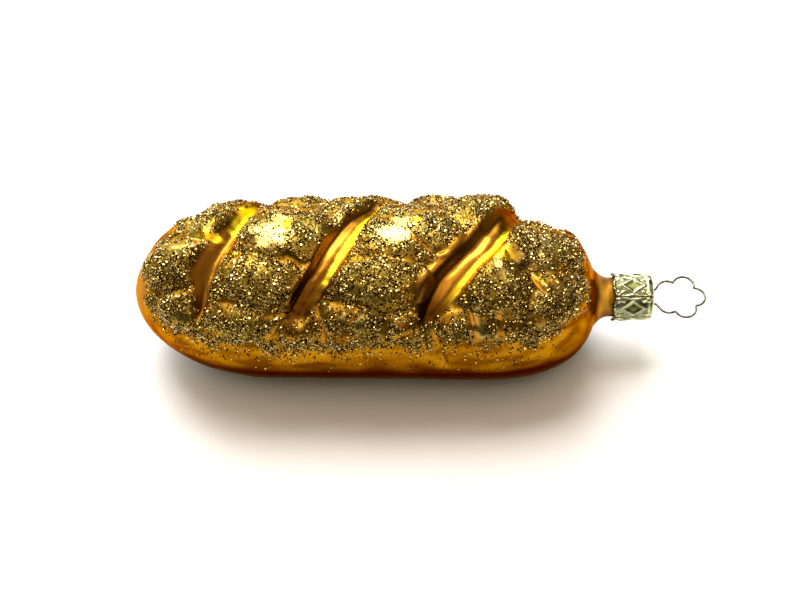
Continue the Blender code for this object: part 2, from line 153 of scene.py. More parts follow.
# Each cut follows a bowed line on the loaf, given as (share of the length, degrees from the crown). Its
# depth is in millimetres, and its left and right edges are (degrees, millimetres from the line). Its
# section has five rows: the share of the way across, how far the lumps are cleared, how deep it is, how
# yellow the lacquer is, thin lacquer with a painted highlight, and how orange, a painted highlight on the
# ridge. The runs and the lip are (degrees, strength), and the lip is how far bare lacquer passes the left
# edge, as a share of the width
cuts = (
    {"front": (0.147, -58), "back": (0.264, 55), "bow": -0.014, "depth": 2,
     "left": ((-57, 0), (-45, -1.6), (-31, -3.5), (-16, -5.6), (0, -4.2), (18, -2), (45, -1.9), (56, -1)),
     "right": ((-57, 0.6), (-43, 1.7), (-24, 2.1), (-12, 2.8), (2, 3.3), (18, 4), (51, 2.2)),
     "deepRun": ((-58, 0.1), (-40, 0.9), (-15, 1.25), (5, 1.1), (25, 0.7), (45, 0.35), (56, 0)),
     "section": ((0, 0.12, 0.35, 0.56, 0.66, 0.92, 1), (0, 0.8, 1, 1, 1, 1, 0),
                 (0, 0.22, 0.5, 1, 0.88, 0.68, 0), (0, 0, 0, 0, 1, 0.8, 0), (0, 0, 0, 0.1, 1, 1, 0)),
     "thinSheenRun": ((-60, 0), (-30, 0.05), (4, 0.12), (22, 1), (60, 1)),
     "ridgeRun": ((-60, 0.5), (-50, 1), (8, 1), (22, 0)),
     "lip": ((-58, 0), (55, 0))},
    {"front": (0.35, -56), "back": (0.533, 42), "bow": -0.004, "depth": 1.5,
     "left": ((-57, -0.8), (-48, -4), (-36, -4), (-20, -3.6), (-9, -3.6), (1, -4.2), (14, -4.2), (30, -2.6),
              (44, -1.2)),
     "right": ((-57, 1), (-47, 3), (-28, 3.3), (-18, 3.5), (0, 3.3), (22, 2.7), (44, 1)),
     "deepRun": ((-56, 0.2), (-40, 0.9), (-15, 1.3), (2, 1.2), (22, 0.7), (42, 0)),
     "section": ((0, 0.2, 0.46, 0.57, 0.63, 0.88, 1), (0, 0.9, 1, 1, 1, 1, 0),
                 (0, 0.9, 0.72, 0.97, 0.95, 0.68, 0), (0, 0, 0, 0, 1, 1, 0), (0, 0.3, 0.7, 0.1, 0, 0, 0)),
     "thinSheenRun": ((-60, 0), (-26, 0.1), (-20, 1), (20, 1), (40, 0.2)),
     "ridgeRun": ((-60, 0), (-18, 0.1), (-10, 1), (8, 1), (20, 0.2)),
     "lip": ((-56, 0), (-38, 0.15), (-20, 0.15), (0, 0.08), (15, 0))},
    {"front": (0.616, -58), "back": (0.825, 56), "bow": 0.02, "depth": 1.5,
     "left": ((-58, -0.4), (-47, -3.6), (-31, -6), (-20, -5.6), (-4, -3.6), (12, -2.8), (37, -1.5),
              (56, -0.2)),
     "right": ((-58, 0.8), (-42, 2.8), (-28, 3.5), (-20, 3.4), (-10, 4.2), (1, 5.6), (25, 4.6), (45, 4.2),
               (56, 4.4)),
     "deepRun": ((-58, 0.1), (-44, 0.9), (-22, 1.35), (-2, 1.2), (20, 0.6), (40, 0.2), (56, 0)),
     "section": ((0, 0.3, 0.54, 0.66, 0.71, 0.9, 1), (0, 0.9, 1, 1, 1, 1, 0),
                 (0, 0.93, 0.72, 0.97, 0.95, 0.68, 0), (0, 0, 0, 0, 1, 1, 0), (0, 0.4, 1, 0.2, 0, 0, 0)),
     "thinSheenRun": ((-60, 0), (-39, 0.05), (-31, 1), (6, 1), (16, 0.1)),
     "ridgeRun": ((-60, 0), (-40, 0), (-30, 1), (4, 1), (16, 0.2)),
     "lip": ((-58, 0), (-45, 0.12), (-35, 0.24), (-20, 0.26), (-10, 0.36), (10, 0.12), (20, 0.15),
             (35, 0.05), (50, 0))},
)
lumps = (  # on each stretch between cuts: share of the way, degrees, half length (share), half width
    ((0.77, 27, 0.3, 22), (0.51, -9, 0.44, 24), (0.76, -54, 0.38, 22)),
    ((0.5, 8, 0.42, 25), (0.84, 36, 0.28, 22), (0.44, -28, 0.44, 20), (0.45, -57, 0.46, 20)),
    ((0.42, 9, 0.42, 27), (0.745, 33, 0.25, 24), (0.43, -28, 0.42, 19),
     (0.07, -62, 0.14, 15), (0.45, -57, 0.3, 20), (0.88, -61, 0.19, 15)),
    ((0.53, 4, 0.38, 24), (0.3, -32, 0.28, 20), (0.26, -61, 0.21, 17), (0.74, -40, 0.25, 27)),
)
backLumps = ((0.26, 68, 0.29, 21), (0.74, 64, 0.29, 21))
creases = (  # lines of (share, degrees), half width and depth in millimetres
    (((0.344, -47.5), (0.285, -49.5)), 0.7, 0.5),
    (((0.332, -52.5), (0.284, -67)), 0.7, 0.5),
    (((0.401, -43), (0.414, -70.5)), 0.7, 0.6),
    (((0.327, -9), (0.364, -16)), 0.8, 0.5),
    (((0.596, -0.5), (0.638, -9), (0.664, -7.5)), 0.8, 0.6),
    (((0.831, -17), (0.873, -34.5)), 0.8, 0.6),
    (((0.815, -20.5), (0.841, -32.5)), 0.6, 0.4),
    (((0.716, -45.5), (0.735, -73.5)), 0.8, 0.5),
    (((0.768, -42.5), (0.791, -69.5)), 0.8, 0.5),
    (((0.613, -59), (0.561, -62.5)), 0.7, 0.5),
    (((0.645, -62), (0.652, -72), (0.666, -89)), 1, 0.8),
    (((0.224, -40), (0.185, -68)), 0.7, 0.3),
    (((0.489, -39.5), (0.457, -59)), 0.7, 0.4),
    (((0.896, -7), (0.938, -26)), 0.7, 0.4),
)
patches = {  # (share, degrees, half length, half width in millimetres, turn in degrees)
    "bare": (
        (0.302, -1, 5, 2.6, 20), (0.29, 8, 3.6, 2.2, 0), (0.322, 15, 3.6, 2.6, 30), (0.583, 12, 3, 1.8, 0),
        (0.561, 3.5, 4, 1.8, -20), (0.603, 18.5, 2.6, 1.2, 10), (0.162, 8, 3.4, 2, 30),
        (0.184, 1.5, 2.6, 1.8, 0), (0.795, -9, 4.6, 3, -20), (0.782, -17.5, 2.6, 2, 0),
        (0.132, 12, 2.8, 2, 0), (0.115, 22, 2, 1.4, 0), (0.085, 11, 1.8, 2.2, 0), (0.104, 5, 3.4, 1.4, -30),
        (0.078, 18, 1.8, 2.2, 0), (0.322, 27, 3.4, 1.6, 10), (0.545, 1, 3.2, 1.4, -30),
        (0.615, 25, 3.2, 1.3, 0), (0.727, -52, 4, 0.8, 80), (0.775, -53, 4, 0.9, 80),
        (0.446, -53, 3, 1.1, 60), (0.46, 33, 4, 1, 60), (0.575, 30, 3.2, 1.1, -20), (0.3, 34, 3, 1, 20),
        (0.74, 3.5, 1.6, 1.2, 0), (0.876, 7, 1.6, 1.2, 0), (0.634, -33.5, 1.6, 1.2, 0),
        (0.357, 38, 2.4, 1.2, 0), (0.438, 23, 0.9, 2.2, 25), (0.489, -52.5, 2.2, 1.2, 60),
        (0.738, -58.5, 1.6, 2.2, 0),
    ),
    "yellow": (  # bare places with thin yellow lacquer under a painted highlight
        (0.236, 31, 6.6, 2.1, 72), (0.246, 40, 4, 2.4, 72), (0.168, 9.5, 3.2, 1.2, -20),
        (0.79, -8, 3, 2, -20), (0.606, 13, 1.4, 1.2, 0), (0.335, 9, 1.2, 1.6, 0),
    ),
    "worn": (  # places where glue and glitter are thin over the amber
        (0.388, -33, 3.4, 3, 30), (0.645, -48, 4.2, 3, 0), (0.895, -21, 1.8, 2.6, -30),
        (0.455, -62, 4, 1.8, 0), (0.72, -66, 5, 1.6, 0), (0.345, -60, 2, 3, 0), (0.24, -73, 5, 1.2, 0),
        (0.56, -72, 5, 1.4, 0), (0.266, 56, 6, 2.2, 0), (0.549, 17, 3, 0.9, 60), (0.54, 44, 4, 1.4, 30),
        (0.41, 47, 3, 1.2, 0), (0.668, -40, 2.6, 2.4, 0), (0.6, -54, 5, 1.4, 10), (0.8, -52, 4.4, 1.2, -10),
        (0.31, -62, 3.4, 1.2, 20), (0.86, -50, 2.6, 1.6, 0), (0.06, -36, 2.6, 1.6, 0),
        (0.59, -37, 3.4, 2.8, 30), (0.655, -32, 2.4, 1.6, 60),
    ),
}
cutLook = {  # as shares of a cut's width, but the wobble is for each metre that its edges waver, the turns
             # that soften its runs are in degrees, and its ends fade in shares of its run
    "bareFrom": (0, 0.12), "bareTo": (0.92, 1), "lipWobble": 1200, "lipEnd": (-0.04, 0.08),
    "lipOrange": 0.65, "smear": (-0.075, -0.0375, 0, 0.0375, 0.075), "soften": (-6, -3, 0, 3, 6),
    "endFade": ((-0.02, 0.07), (0.93, 1.04)),
}
texture = {  # size in metres and seed of each noise, and how high it stands on each part
    "noises": {"swell": (0.0075, 1), "ripple": (0.0026, 2), "pucker": (0.0011, 3), "ragged": (0.0016, 4),
               "knead": (0.004, 5), "clump": (0.0019, 6)},
    "onGlass": {"swell": 0.00012, "ripple": 0.00005},
    "onCrust": {"swell": 0.00026, "knead": 0.0003, "ripple": 0.00018, "pucker": 0.00006,
                "valley": -0.0003},
    "inCut": {"ripple": 0.0001, "pucker": 0.00003},
    "cutEdges": {"swell": 0.0003, "ripple": 0.0002},
    "valleyBelow": (0.0012, 0.0021), "valleyRipple": 0.0003, "valleyFrom": (0.06, 0.12),
    "valleyTo": (0.9, 0.95), "streaks": (0.0024, 7), "streakStretch": (0.35, 1, 1),
}
coat = {  # where glue, glitter, the shades of lacquer and the painted light and shade lie, with heights in metres
    "foot": 0.0238, "footClimbs": ((0.0012, 0.3, 0.5), (0.006, 0.86, 1)),
    "footNoise": {"swell": 0.003, "ripple": 0.0014}, "glueOverFoot": (-0.0004, 0.003),
    "gritOverFoot": ((0.15, -0.0034, 0), (0.85, -0.0008, 0.002)), "tipEnd": 0.42, "neckEnd": 0.46,
    "fullAtEnds": 0.58, "endRipple": 0.1, "endBehind": (0.2, 5, 50),
    "clumpNoise": {"clump": 1, "ripple": 0.35, "knead": 0.2}, "clumpBehind": (0.22, 12, 40),
    "clumpSpread": (-0.35, 0.3), "leastClump": 0.12, "cutRagged": 0.25, "cutEdge": (0.3, 0.75),
    "torn": 0.7, "tornEdge": (0.5, 1.5), "bareness": 0.9, "gritOffBare": 0.92, "gritOffWorn": 0.75,
    "gritOffFold": 0.92, "glueOffWorn": 0.85, "glueOffYellow": 0.9, "valleyWearAndShade": (0.55, 0.0005, 0.003),
    "foldDepth": 0.0004, "foldOrange": (0.5, 30, 45), "neckStart": (0.994, 1.01), "ringPlace": 0.997,
    "ringWidth": 0.008, "ringShade": 0.7, "neckShade": 0.85, "neckLit": (-38, 30),
    "neckShadowByCap": (0.1138, 0.1152), "litFarSide": (-6, 30), "farHeel": (0.8, 0.88),
    "farKnead": (0.75, -0.3, 0.3), "shadeBelow": (0.0136, 0.018), "shadeSwell": 0.0008,
    "tipRim": (0, 0.05), "cutFoot": (0.5, 14, 26), "cutFootFrom": 0.27, "cutFootSlant": 30,
    "cutTop": (0.65, 26, 38), "cutTopFrom": 0.7, "roughness": 0.28, "roughest": (0.1, 0.6),
    "silverOffNeck": 0.6, "rougher": {"swell": 0.04, "glue": 0.14, "cut": 0.05, "neck": 0.14},
    "streakMiddle": 0.5, "streakSpread": 0.9, "streakSwell": 0.5,
}


def loafOutline(step, inset=0):  # (from the tip, share of the fullest radius), tip to mouth
    s, reach, halfWidth = loaf, loaf["tipReach"], loaf["width"] / 2
    fullest = 1 - inset / halfWidth
    neckShare = (s["neckRadius"] - min(inset, s["wall"])) / halfWidth
    points = []
    tipSteps = round(1.4 * reach / step)
    for i in range(tipSteps):
        turn = math.pi / 2 * i / tipSteps
        points.append((inset + (reach - inset) * (1 - math.cos(turn)), fullest * math.sin(turn)))
    barrelEnd = s["length"] - s["shoulderReach"]
    barrelSteps = round((barrelEnd - reach) / step)
    for i in range(barrelSteps):
        points.append((reach + (barrelEnd - reach) * i / barrelSteps, fullest))
    power = 2 / s["shoulderFullness"]
    flareShare = s["neckRadius"] / halfWidth * s["flareStart"]
    lastTurn = math.acos((flareShare / fullest) ** (1 / power))
    shoulderSteps = round(1.4 * s["shoulderReach"] / step)
    for i in range(shoulderSteps + 1):
        turn = lastTurn * i / shoulderSteps
        points.append((barrelEnd + (s["shoulderReach"] - inset) * math.sin(turn) ** power,
                       fullest * math.cos(turn) ** power))
    flareFrom, flareTo = points[-1][0], s["length"] + s["neckFlare"]
    flareSteps = max(5, round((flareTo - flareFrom) / step))
    for i in range(1, flareSteps + 1):
        rest = 1 - i / flareSteps
        points.append((flareTo - (flareTo - flareFrom) * rest,
                       neckShare + (flareShare - neckShare) * rest * rest))
    neckSteps = max(3, round((s["mouth"] - flareTo) / step / 3))
    for i in range(1, neckSteps + 1):
        points.append((flareTo + (s["mouth"] - flareTo) * i / neckSteps, neckShare))
    return points


def cutRun(cut, degrees):  # share of the way from a cut's front end to its back end
    return (degrees - cut["front"][1]) / (cut["back"][1] - cut["front"][1])


def cutPlace(cut, degrees):
    front, back, run = cut["front"][0], cut["back"][0], cutRun(cut, degrees)
    return front + (back - front) * run + 4 * cut["bow"] * run * (1 - run)


def placedLumps():
    rng = random.Random(loaf["lumpSeed"])
    for stretch, ownLumps in enumerate(lumps):
        for along, degrees, halfLength, halfWidth in ownLumps + backLumps:
            edges = [0, *(cutPlace(cut, degrees) for cut in cuts), 1]
            left, right = edges[stretch:stretch + 2]
            height = loaf["lumpHeight"] * min(1, halfWidth / loaf["fullLump"])
            yield (left + (right - left) * along, degrees, halfLength * (right - left), halfWidth,
                   height * rng.uniform(*loaf["lumpVariety"]))


def lumpLift(share, degrees):
    total = np.zeros_like(share)
    for at, angle, halfLength, halfWidth, height in placedLumps():
        reach = ((share - at) / halfLength) ** 2 + ((degrees - angle) / halfWidth) ** 2
        dome = height * np.clip(1 - reach, 0, None) ** loaf["lumpRoundness"]
        total += dome ** loaf["creaseSharpness"]
    return loaf["crustThickness"] + total ** (1 / loaf["creaseSharpness"])


def perDegree():  # metres round the loaf for one degree
    return math.radians((loaf["width"] + loaf["height"]) / 4)


def alongCut(points, degrees):  # a value that changes softly along a cut
    at, values = zip(*points)
    turns = cutLook["soften"]
    return sum(np.interp(degrees + turn, at, values) for turn in turns) / len(turns)


def cutSection(share, degrees, wobble):  # how far cleared, how deep, how far inside, yellow, orange
    found = np.zeros((5, len(share)))
    for cut in cuts:
        place = cutPlace(cut, degrees)
        slope = (cutPlace(cut, degrees + 1) - place) * loaf["length"] / perDegree()
        across = (share - place) * loaf["length"] / np.sqrt(1 + slope ** 2) + wobble
        left, right = (alongCut(cut[edge], degrees) / 1000 for edge in ("left", "right"))
        part = (across - left) / (right - left)  # 0 at the left edge, 1 at the right
        ends = plateau(cutRun(cut, degrees), *cutLook["endFade"])
        at, *section = cut["section"]
        clearing, _, yellow, orange = (np.interp(part, at, row, 0, 0) for row in section)
        deep = sum(np.interp(part + shift, at, section[1], 0, 0)
                   for shift in cutLook["smear"]) / len(cutLook["smear"])
        lip = alongCut(cut["lip"], degrees) * (1 + cutLook["lipWobble"] * wobble)
        within = ease(part + lip, *cutLook["bareFrom"]) * (1 - ease(part, *cutLook["bareTo"])) * ends
        onLip = cutLook["lipOrange"] * (1 - ease(part, *cutLook["lipEnd"]))
        # the orange on the ridge is a painted highlight; on the lip it is the colour of the bare lacquer
        orange = np.maximum(orange * alongCut(cut["ridgeRun"], degrees), onLip)
        deep = deep * alongCut(cut["deepRun"], degrees) * cut["depth"] / 1000
        # the yellow band is thin lacquer with a painted highlight
        yellow = yellow * alongCut(cut["thinSheenRun"], degrees)
        found = np.maximum(found, (clearing * ends, deep, within, yellow * within, orange * within))
    return found


def unroll(share, degrees):  # millimetres along the loaf and round it
    return share * loaf["length"] * 1000, degrees * perDegree() * 1000


def creaseDepth(share, degrees):
    x, y = unroll(share, degrees)
    depth = np.zeros_like(share)
    for line, halfWidth, deep in creases:
        for start, end in zip(line, line[1:]):
            (x0, y0), (x1, y1) = unroll(*start), unroll(*end)
            dx, dy = x1 - x0, y1 - y0
            along = np.clip(((x - x0) * dx + (y - y0) * dy) / (dx * dx + dy * dy), 0, 1)
            away = np.hypot(x - x0 - along * dx, y - y0 - along * dy)
            ends = 1 - loaf["creaseFade"] * (2 * along - 1) ** 4
            depth = np.maximum(depth, deep * ends * (1 - ease(away, 0, halfWidth * loaf["creaseReach"])))
    return depth / 1000


def patchiness(places, share, degrees, ragged):  # 1 inside the patches, with torn edges
    total = np.zeros_like(share)
    for at, angle, halfLength, halfWidth, turn in places:
        x, y = unroll(share - at, degrees - angle)
        c, s = math.cos(math.radians(turn)), math.sin(math.radians(turn))
        reach = ((x * c + y * s) / halfLength) ** 2 + ((y * c - x * s) / halfWidth) ** 2
        total = np.maximum(total, 1 - ease(reach + coat["torn"] * ragged, *coat["tornEdge"]))
    return total


def settleOnTable(height):
    easeHeight = loaf["baseEase"]
    turning = (height + easeHeight) ** 2 / (4 * easeHeight)
    height = np.where(np.abs(height) < easeHeight, turning, height)
    return np.where(height <= -easeHeight, 0, np.maximum(height, 0))


def sculptLoaf(points, inner):  # points are (from the tip, side, up), with the loaf as a round bar
    s, t, half = loaf, texture, loaf["width"] / 2
    fromTip = points[:, 0]
    full = np.hypot(points[:, 1], points[:, 2])
    angle = np.arctan2(points[:, 1], points[:, 2])
    angle = angle - s["crownCrowding"] * np.sin(angle)  # more faces on the crown, fewer below
    degrees = np.degrees(angle)
    share = fromTip / s["length"]
    outer = 1 - inner

    slimming = 1 - s["tipSlimming"] * (1 - np.clip(share, 0, 1))
    halfWidth = half * slimming
    halfHeight = (s["height"] + s["baseSink"]) / 2 * slimming
    bodyCentre = (s["height"] - s["baseSink"]) / 2
    centre = (bodyCentre + s["tipLift"] * (1 - ease(share, 0, s["tipLiftEnd"]))
              + (s["neckHeight"] - bodyCentre) * ease(share, s["neckSinkStart"], 1))
    neck = ease(fromTip, s["length"] - s["neckFlare"], s["length"] + s["neckFlare"])
    side = full * (halfWidth * (1 - neck) + half * neck) * np.sin(angle)
    rise = full * (halfHeight * (1 - neck) + half * neck) * np.cos(angle)

    height = centre + rise
    place = np.column_stack((fromTip, side, height))
    noises = {name: noiseAt(place, *sizeAndSeed) for name, sizeAndSeed in t["noises"].items()}
    cleared, depth, inside, thinLacquerSheen, ridge = cutSection(share, degrees, blend(noises, t["cutEdges"]))
    crust = ease(height, s["crustFoot"], s["crustFull"]) * ease(full, *s["crustAtTip"]) * (1 - neck) * outer
    heel = (plateau(share, s["heelStart"], s["heelRunOut"])
            * (1 - ease(np.abs(degrees - s["heelMiddle"]), *s["heelSpread"])))
    folds = creaseDepth(share, degrees) * outer
    lumpRise = lumpLift(share, degrees)
    noises["valley"] = ((1 - ease(lumpRise + t["valleyRipple"] * noises["ripple"], *t["valleyBelow"]))
                        * plateau(share, t["valleyFrom"], t["valleyTo"]))
    unevenness = (outer * (1 - neck) * blend(noises, t["onGlass"])
                  + crust * (1 - inside) * blend(noises, t["onCrust"])
                  + crust * inside * blend(noises, t["inCut"]))
    lift = crust * (lumpRise * (1 - cleared) - depth) - s["heelDrop"] * heel + unevenness - folds

    facingEnd = np.sqrt(np.clip(1 - full ** 2, 0, 1)) * (1 - neck)
    facingOut = np.sqrt(1 - facingEnd ** 2)
    outY, outZ = np.sin(angle) / halfWidth, np.cos(angle) / halfHeight
    outLength = np.hypot(outY, outZ)
    moved = np.empty_like(points)
    moved[:, 0] = -s["length"] / 2 + fromTip + lift * facingEnd * np.where(share < 0.5, -1, 1)
    moved[:, 1] = side + lift * facingOut * outY / outLength
    lifted = height + lift * facingOut * outZ / outLength
    moved[:, 2] = np.where(inner > 0.5, np.maximum(lifted, s["wall"]), settleOnTable(lifted))

    noises["streaks"] = noiseAt(place * t["streakStretch"], *t["streaks"])
    return moved, coatFields(fromTip, degrees, full, height, neck, outer, crust, inside, thinLacquerSheen, ridge, folds,
                             noises)


# What the lacquer and the glitter read at each point
def coatFields(fromTip, degrees, full, height, neck, outer, crust, inside, thinLacquerSheen, ridge, folds, noises):
    c, share = coat, fromTip / loaf["length"]
    swell, ragged = noises["swell"], noises["ragged"]
    foot = c["foot"] + sum(climb(share, *rise) for rise in c["footClimbs"])
    above = height + blend(noises, c["footNoise"]) - foot
    atTip = share < 0.5
    fromEnd = full + c["endRipple"] * noises["ripple"] - climb(degrees, *c["endBehind"]) * atTip
    onBody = (ease(fromEnd, np.where(atTip, c["tipEnd"], c["neckEnd"]), c["fullAtEnds"])
              * (1 - neck) * outer)

    bare, yellow, worn = (patchiness(patches[name], share, degrees, ragged)
                          for name in ("bare", "yellow", "worn"))
    bare = np.maximum(c["bareness"] * bare, yellow)
    # in the valleys between lumps the glitter and glue thin out, partly wear and partly painted shade as
    # the darker amber shows
    worn = np.maximum(worn, climb(above, *c["valleyWearAndShade"]) * noises["valley"])
    inFold = np.clip(folds / c["foldDepth"], 0, 1)
    clumps = c["leastClump"] + (1 - c["leastClump"]) * ease(
        blend(noises, c["clumpNoise"]) - climb(degrees, *c["clumpBehind"]), *c["clumpSpread"])
    grit = sum(climb(above, *rise) for rise in c["gritOverFoot"]) * onBody * (
        1 - ease(inside + c["cutRagged"] * ragged, *c["cutEdge"])) * (
        1 - c["gritOffBare"] * bare) * (1 - c["gritOffWorn"] * worn) * (1 - c["gritOffFold"] * inFold)
    glue = ease(above, *c["glueOverFoot"]) * onBody * (1 - inside)

    atNeck = ease(share, *c["neckStart"]) * outer
    # the neck is painted with shade away from a lit band, its own colour being the painted highlight of
    # that band, with a painted shadow of the cap's rim at its mouth; the ring is painted shade round the
    # neck's root
    litAngle, litSpread = c["neckLit"]
    unlit = c["neckShade"] * (1 - bead(degrees - litAngle, litSpread))
    ring = bead(share - c["ringPlace"], c["ringWidth"])
    # painted shade at the lower ends of the cuts after the first and at the top of the last cut
    cutFoot = climb(-degrees - c["cutFootSlant"] * share, *c["cutFoot"]) * (share > c["cutFootFrom"])
    cutTop = climb(degrees, *c["cutTop"]) * (share > c["cutTopFrom"])
    rougher = blend({"swell": swell, "glue": glue * (1 - bare), "cut": inside, "neck": atNeck},
                    c["rougher"])
    fields = {
        "crust": (glue * (1 - c["glueOffWorn"] * np.maximum(worn, inFold))
                  * (1 - c["glueOffYellow"] * yellow)),
        "grit": grit * clumps,
        "rough": np.clip(c["roughness"] + rougher, *c["roughest"]),
        "silver": 1 - c["silverOffNeck"] * atNeck,
        "atNeck": atNeck,
        "neckShade": np.maximum(unlit, ease(fromTip, *c["neckShadowByCap"])) * atNeck,
        "inCut": inside * crust,
        "cutEndShade": inside * np.maximum(cutFoot, cutTop),
        "bare": bare,
        "thinLacquerSheen": np.maximum(thinLacquerSheen, yellow),
        "ridge": ridge,
        "fold": climb(-degrees, *c["foldOrange"]) * inFold * np.clip(glue, 0, 1),
        # the glue is painted paler from the crown towards the back, as painted light, and over the heel
        "litFarSide": (np.maximum(ease(degrees, *c["litFarSide"]), ease(share, *c["farHeel"]))
                    * climb(noises["knead"], *c["farKnead"])),
        # painted shade on the low part of the body, for the shadowed floor it reflects, and round the
        # neck's root
        "paintedLowShade": np.maximum(1 - ease(height + c["shadeSwell"] * swell, *c["shadeBelow"]),
                            c["ringShade"] * ring) * outer,
        "streaks": c["streakMiddle"] + c["streakSpread"] * (noises["streaks"] + c["streakSwell"] * swell),
        # a painted sheen: paler lacquer at the very tip
        "tipwards": 1 - ease(share, *c["tipRim"]),
    }
    return {name: np.clip(values, 0, 1) for name, values in fields.items()}


def makeLoafMesh():
    outside = loafOutline(loaf["stationStep"])
    inside = list(reversed(loafOutline(loaf["innerStep"], loaf["innerInset"])))
    marks = [0] * len(outside) + [1] * len(inside)
    mesh = toMesh("loafGlass", spinAboutX(outside + inside, loaf["stepsRound"], "inner", marks))
    moved, fields = sculptLoaf(readPoints(mesh), readField(mesh, "inner"))
    writePoints(mesh, moved)
    for name, values in fields.items():
        writeField(mesh, name, values)
    return mesh, fields


# Node helpers for the finishes
def feed(node, name, value):
    node.id_data.links.new(value, node.inputs[name])


def setInputs(node, names, values):
    for name, value in zip(names, values):
        node.inputs[name].default_value = value


def startMaterial(name, metallic, roughness):
    material = bpy.data.materials.new(name)
    material.use_nodes = True
    shader = material.node_tree.nodes["Principled BSDF"]
    setInputs(shader, ("Metallic", "Roughness"), (metallic, roughness))
    return material, material.node_tree, shader


def objectPlace(tree):
    return tree.nodes.new("ShaderNodeTexCoord").outputs["Object"]


def fieldOf(tree, name):
    node = tree.nodes.new("ShaderNodeAttribute")
    node.attribute_name = name
    return node.outputs["Fac"]


def noiseOf(tree, place, scale, detail):
    node = tree.nodes.new("ShaderNodeTexNoise")
    setInputs(node, ("Scale", "Detail", "Roughness"), (scale, detail, 0.5))
    feed(node, "Vector", place)
    return node.outputs["Fac"]


def rampOf(tree, factor, stops):
    node = tree.nodes.new("ShaderNodeValToRGB")
    while len(node.color_ramp.elements) < len(stops):
        node.color_ramp.elements.new(0.5)
    for element, (position, colour) in zip(node.color_ramp.elements, stops):
        element.position = position
        element.color = (*colour, 1)
    feed(node, "Fac", factor)
    return node.outputs["Color"]


def mixOf(tree, factor, first, second):
    node = tree.nodes.new("ShaderNodeMix")
    node.data_type = "RGBA"
    for socket, value in ((node.inputs[0], factor), (node.inputs[6], first), (node.inputs[7], second)):
        if isinstance(value, bpy.types.NodeSocket):
            tree.links.new(value, socket)
        elif isinstance(value, tuple):
            socket.default_value = (*value, 1)
        else:
            socket.default_value = value
    return node.outputs[2]


def layersOf(tree, colour, layers):  # (field, colour) pairs, each over the ones before it
    for name, over in layers:
        colour = mixOf(tree, fieldOf(tree, name), colour, over)
    return colour


def rangeOf(tree, value, *limits):
    node = tree.nodes.new("ShaderNodeMapRange")
    feed(node, "Value", value)
    setInputs(node, ("From Min", "From Max", "To Min", "To Max"), limits)
    return node.outputs["Result"]


def bumpOf(tree, height, strength, distance, before=None):
    node = tree.nodes.new("ShaderNodeBump")
    setInputs(node, ("Strength", "Distance"), (strength, distance))
    feed(node, "Height", height)
    if before:
        feed(node, "Normal", before)
    return node.outputs["Normal"]


lacquerLook = {  # colours, then scale and detail of each noise, then strength and height of the bumps
    "amber": (0.175, 0.061, 0.001), "honey": (0.4, 0.18, 0.006), "deepAmber": (0.088, 0.029, 0.001),
    "rust": (0.135, 0.055, 0.006), "champagne": (0.46, 0.36, 0.11), "olive": (0.17, 0.116, 0.014),
    # the pale rim is a painted sheen at the tip, yellow a painted highlight over thin lacquer, orange a
    # painted highlight on the cuts' ridges and the bare lacquer's own colour on their lips and in folds,
    # neck the painted highlight of the neck's lit band, and shaded a painted shade
    "paleTipSheen": (0.42, 0.27, 0.14), "yellow": (0.95, 0.62, 0.02), "orange": (0.62, 0.28, 0.03),
    "neck": (1, 0.48, 0.045), "edge": (0.8, 0.42, 0.1), "shaded": (0.047, 0.012, 0.001),
    "gold": (0.42, 0.305, 0.06), "clouds": (160, 4), "fine": (1400, 3), "waves": (420, 2),
    "waveStrength": (0.35, 0.85), "waveHeight": 0.00012, "fineBump": (0.25, 0.00004),
}


def makeLacquer():
    look = lacquerLook
    material, tree, shader = startMaterial("amberLacquer", 1, 0.3)
    place = objectPlace(tree)
    clouds = noiseOf(tree, place, *look["clouds"])
    fine = noiseOf(tree, place, *look["fine"])
    body = rampOf(tree, fieldOf(tree, "streaks"), ((0.15, look["amber"]), (0.85, look["honey"])))
    inCut = rampOf(tree, clouds, ((0.3, look["deepAmber"]), (0.72, look["rust"])))
    neck = mixOf(tree, fieldOf(tree, "neckShade"), look["neck"], look["shaded"])
    glue = rampOf(tree, fine, ((0.42, look["olive"]), (0.8, look["gold"])))
    glue = layersOf(tree, glue, (("litFarSide", look["champagne"]), ("bare", look["champagne"])))
    # over the body: a painted sheen at the tip, painted shade low down, the cuts' own colours, painted
    # highlights on the ridges and yellow bands, painted shade at the cut ends, the neck with its painted
    # light and shade, then the glue and the folds
    body = layersOf(tree, body, (
        ("tipwards", look["paleTipSheen"]), ("paintedLowShade", look["shaded"]), ("inCut", inCut),
        ("ridge", look["orange"]), ("thinLacquerSheen", look["yellow"]), ("cutEndShade", look["shaded"]),
        ("atNeck", neck), ("crust", glue), ("fold", look["orange"])))
    feed(shader, "Base Color", body)
    feed(shader, "Roughness", fieldOf(tree, "rough"))
    feed(shader, "Metallic", fieldOf(tree, "silver"))  # the neck isn't silvered
    setInputs(shader, ["Specular Tint"], [(*look["edge"], 1)])
    plain, atBare = look["waveStrength"]
    waves = bumpOf(tree, noiseOf(tree, place, *look["waves"]), plain, look["waveHeight"])
    feed(waves.node, "Strength", rangeOf(tree, fieldOf(tree, "bare"), 0, 1, plain, atBare))
    feed(shader, "Normal", bumpOf(tree, fine, *look["fineBump"], waves))
    return material


lacquer = makeLacquer()
loafMesh, loafFields = makeLoafMesh()
loafMesh.materials.append(lacquer)
addPiece("lacqueredLoaf", loafMesh, ["glass_loaf"])
print("loaf:", len(loafMesh.polygons), "faces")


